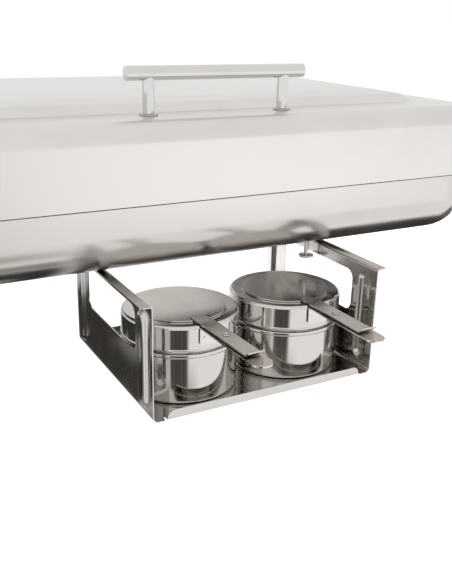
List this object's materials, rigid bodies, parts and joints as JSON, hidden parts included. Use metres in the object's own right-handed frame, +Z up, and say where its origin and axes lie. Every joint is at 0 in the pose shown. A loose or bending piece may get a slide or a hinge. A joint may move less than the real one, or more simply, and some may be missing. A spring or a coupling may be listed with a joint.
{
  "type": "chafing dish",
  "caption": "Rectangular chafing dish with a hinged lid, food pan, tube end frames and a slide-out fuel rack holding shuttered burners.",
  "frame": {"origin": "on the table under the middle of the bounding box, with the lid closed and the fuel rack half pulled out", "axes": "+X along the dish to its right end, +Y from the fuel rack's front towards the hinges, +Z up"},
  "size_m": [0.686, 0.53, 0.2874],
  "materials": {
    "polished_steel": "mirror-polished stainless steel",
    "rack_steel": "polished stainless sheet",
    "satin_steel": "satin stainless steel",
    "shutter_steel": "fine satin stainless sheet",
    "burner_chrome": "bright polished steel",
    "frame_chrome": "polished tube",
    "fastener_steel": "plain steel fastener",
    "foot_rubber": "matt black rubber"
  },
  "bodies": {
    "root": {"water_pan": "polished_steel", "pan_frame": "satin_steel", "food_pan": "satin_steel", "hinge_leaf_pan_left": "satin_steel", "hinge_leaf_pan_right": "satin_steel", "hinge_pin_left": "fastener_steel", "hinge_pin_right": "fastener_steel", "end_frame_left": "frame_chrome", "end_frame_right": "frame_chrome", "foot_front_left": "foot_rubber", "foot_front_right": "foot_rubber", "foot_back_left": "foot_rubber", "foot_back_right": "foot_rubber", "frame_bracket_front_left": "satin_steel", "frame_bracket_front_right": "satin_steel", "frame_bracket_back_left": "satin_steel", "frame_bracket_back_right": "satin_steel", "bracket_screw_front_left": "fastener_steel", "bracket_screw_front_right": "fastener_steel", "bracket_screw_back_left": "fastener_steel", "bracket_screw_back_right": "fastener_steel", "guide_rail_left": "satin_steel", "guide_rail_right": "satin_steel", "guide_stud_right": "burner_chrome"},
    "lid": {"lid_shell": "polished_steel", "lid_handle": "frame_chrome", "handle_washer_left": "fastener_steel", "handle_washer_right": "fastener_steel", "handle_screw_left": "fastener_steel", "handle_screw_right": "fastener_steel", "hinge_leaf_lid_left": "satin_steel", "hinge_leaf_lid_right": "satin_steel"},
    "rack": {"rack_tray": "rack_steel", "burner_cup_left": "burner_chrome", "burner_cup_right": "burner_chrome"},
    "burner_lid_left": {"burner_lid_left": "burner_chrome", "handle_strip_left": "shutter_steel", "pivot_washer_left": "fastener_steel", "pivot_rivet_left": "fastener_steel"},
    "burner_lid_right": {"burner_lid_right": "burner_chrome", "handle_strip_right": "shutter_steel", "pivot_washer_right": "fastener_steel", "pivot_rivet_right": "fastener_steel"},
    "shutter_left": {"shutter_left": "shutter_steel"},
    "shutter_right": {"shutter_right": "shutter_steel"}
  },
  "joints": [
    {"name": "lid_hinge", "type": "hinge", "parent": "root", "child": "lid", "pos_m": [0, 0.2612, 0.1801], "axis": [-1, 0, 0], "range_deg": [0, 90]},
    {"name": "rack_slide", "type": "slide", "parent": "root", "child": "rack", "axis": [0, 1, 0], "range_m": [-0.04, 0.1]},
    {"name": "burner_lid_turn_left", "type": "hinge", "parent": "rack", "child": "burner_lid_left", "pos_m": [-0.055, -0.1273, 0.0678], "axis": [0, 0, 1], "range_deg": [-15, 15]},
    {"name": "burner_lid_turn_right", "type": "hinge", "parent": "rack", "child": "burner_lid_right", "pos_m": [0.0517, -0.1266, 0.0678], "axis": [0, 0, 1], "range_deg": [-15, 15]},
    {"name": "shutter_swing_left", "type": "hinge", "parent": "burner_lid_left", "child": "shutter_left", "pos_m": [-0.0521, -0.20625, 0.0923], "axis": [0, 0, 1], "range_deg": [-8, 12]},
    {"name": "shutter_swing_right", "type": "hinge", "parent": "burner_lid_right", "child": "shutter_right", "pos_m": [0.0528, -0.20559, 0.0923], "axis": [0, 0, 1], "range_deg": [-12, 8]}
  ]
}
